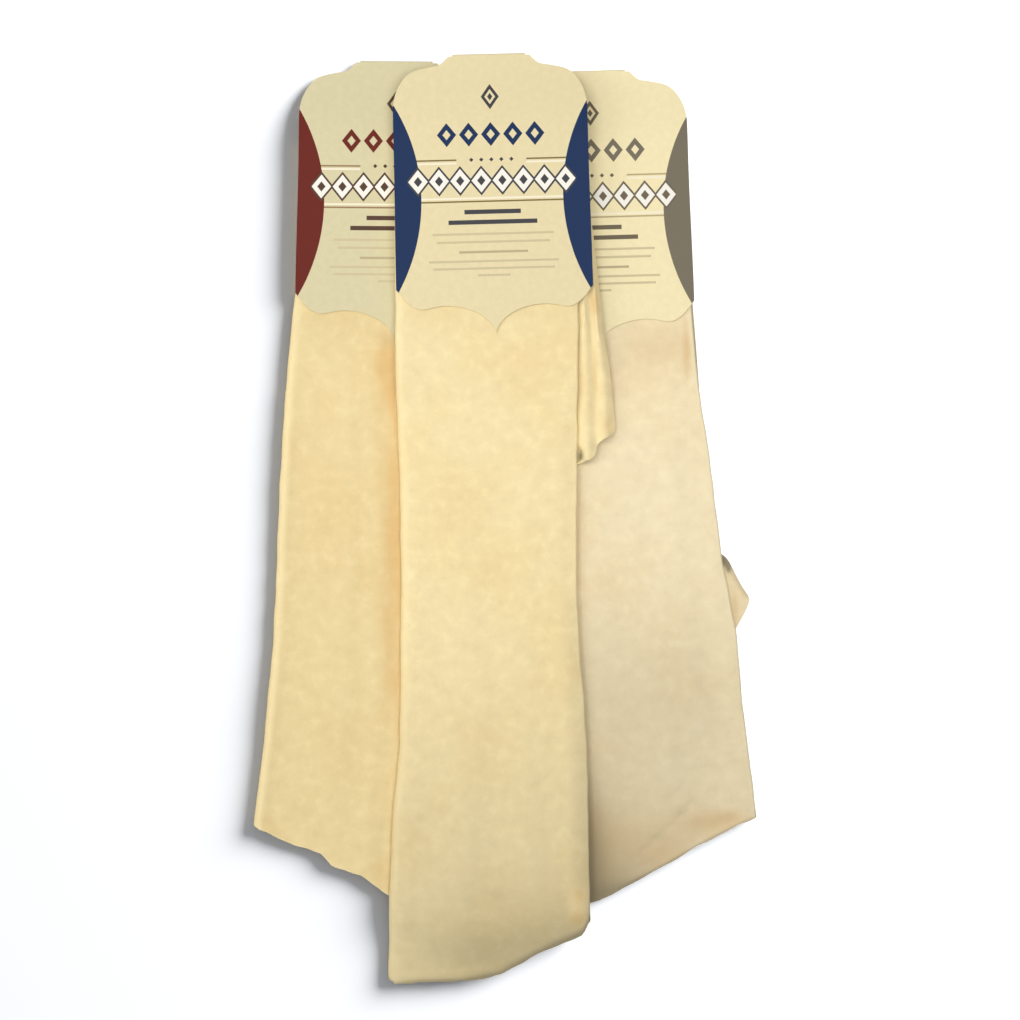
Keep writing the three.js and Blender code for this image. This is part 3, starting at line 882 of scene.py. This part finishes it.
# The glue: thin dabs of dried, peelable glue that hold both leaves to the leather. They
# are inside the card, milky and slightly glossy, and stay on it when it is pulled off.
milky, glue_tree = new_finish("dried_glue")
glue_where = put(glue_tree, "ShaderNodeTexCoord").outputs["Object"]
smear = speckle(glue_tree, glue_where, 260.0, 3.0)
milk, thin_milk = tint(232, 226, 206), tint(244, 240, 226)
glue_tint = blend_tint(glue_tree, band(glue_tree, smear, 0.4, 0.65), milk, thin_milk)
coat(glue_tree, glue_tint, smear, 0.4, 0.0003, {
    "Roughness": 0.34, "Subsurface Weight": 0.2, "Subsurface Scale": 0.002,
})
for pack in PACKS:
    for side in ("back", "front"):
        dab = frame["nodes"][f"{pack}_{side}_glue"]
        dab.data.materials.clear()
        dab.data.materials.append(milky)

# The table: a plain white sheet. Its white is made by its own colour for the camera, so
# the leathers' shadows stay on it and no more light is thrown on them. Far out, past the
# shadows, it runs into the white backdrop.
TABLE_WIDE = 12
TABLE_LEVEL = -0.0002

# The sheet's grey in the light that it throws, and its white to the camera, a little cool
table_thrown, table_seen = (0.4, 0.4, 0.4, 1), (1.08, 1.1, 1.13, 1)

bpy.ops.object.select_all(action="DESELECT")
bpy.ops.mesh.primitive_plane_add(size=TABLE_WIDE, location=(0, 0, TABLE_LEVEL))
table = bpy.context.object
table.name = "table"
table_white, table_tree = new_finish("table_white")
table_tree.nodes.remove(table_tree.nodes["Principled BSDF"])
seen = put(table_tree, "ShaderNodeLightPath").outputs["Is Camera Ray"]
table_tint = blend_tint(table_tree, seen, table_thrown, table_seen)
paper_white = put(table_tree, "ShaderNodeBsdfDiffuse", {"Color": table_tint}).outputs[0]
backdrop_white = put(table_tree, "ShaderNodeEmission", {"Color": (1, 1, 1, 1)}).outputs[0]
table_where = put(table_tree, "ShaderNodeTexCoord").outputs["Object"]
from_middle = put(table_tree, "ShaderNodeVectorMath", {"Vector": table_where}, operation="LENGTH")
far_out = band(table_tree, from_middle.outputs["Value"], 0.5, 1.3)
far_out = work_out(table_tree, "MULTIPLY", far_out, seen)
either_white = {0: far_out, 1: paper_white, 2: backdrop_white}
sheet_white = put(table_tree, "ShaderNodeMixShader", either_white).outputs[0]
table_tree.links.new(sheet_white, table_tree.nodes["Material Output"].inputs["Surface"])
table.data.materials.append(table_white)

# Soft studio light: a large soft box to the upper left, one overhead and a low weak one on
# the left light the packs, one to the far right throws their shadow on the table, and a
# white room is all round.
scene = bpy.context.scene
scene.view_settings.view_transform = "Standard"
room = bpy.data.worlds.new("studio")
scene.world = room
room.use_nodes = True
room_tree = room.node_tree
room_tree.nodes.clear()
path = put(room_tree, "ShaderNodeLightPath").outputs
shows = work_out(room_tree, "MAXIMUM", path["Is Camera Ray"], path["Is Glossy Ray"])
shows = work_out(room_tree, "MAXIMUM", shows, path["Is Transmission Ray"])
fill, backdrop = (
    put(room_tree, "ShaderNodeBackground", {"Color": colour, "Strength": strength}).outputs[0]
    for colour, strength in (((0.97, 0.98, 1, 1), 0.293), ((1, 1, 1, 1), 1.0))
)
either = put(room_tree, "ShaderNodeMixShader", {0: shows, 1: fill, 2: backdrop})
put(room_tree, "ShaderNodeOutputWorld", {"Surface": either.outputs[0]})


def lamp(name, place, aim, size, watts, colour, table_state):
    """A round soft box that lights all but the table, or the table alone."""
    data = bpy.data.lights.new(name, "AREA")
    data.shape = "DISK"
    data.size = size
    data.energy = watts
    data.color = colour
    made = bpy.data.objects.new(name, data)
    bpy.context.collection.objects.link(made)
    made.location = place
    made.rotation_euler = (Vector(aim) - Vector(place)).to_track_quat("-Z", "Y").to_euler()
    lit = made.light_linking.receiver_collection = bpy.data.collections.new(f"{name}_on")
    lit.objects.link(table)
    lit.collection_objects[0].light_linking.link_state = table_state


lamp("left_box", (-0.6, 0.4, 1.15), (0, 0.5, 0), 0.8, 6.2, (1, 0.99, 0.97), "EXCLUDE")
lamp("top_box", (0.2, 0.08, 0.86), (0, 0.1, 0), 0.6, 3.5, (1, 0.99, 0.97), "EXCLUDE")
lamp("low_box", (-0.9, 0.15, 0.48), (0, 0.1, 0), 0.5, 3.1, (1, 0.98, 0.95), "EXCLUDE")
lamp("table_box", (2.4, 1.22, 1.18), (0, 0, 0), 2.1, 190, (1, 1, 1), "INCLUDE")

# The camera looks straight down on the packs. At the level of the strips the picture is
# 510 mm wide, so that 2 of its 1020 pixels are a millimetre, and 0.36 times as wide as the
# camera is far away.
PICTURE_WIDE = 510
STRIP_LEVEL = 10
camera_data = bpy.data.cameras.new("camera")
camera_data.lens = 100
camera_data.sensor_width = 36
camera = bpy.data.objects.new("camera", camera_data)
bpy.context.collection.objects.link(camera)
camera.location = (2.5 * MM, 4.25 * MM, (PICTURE_WIDE / 0.36 + STRIP_LEVEL) * MM)
scene.camera = camera
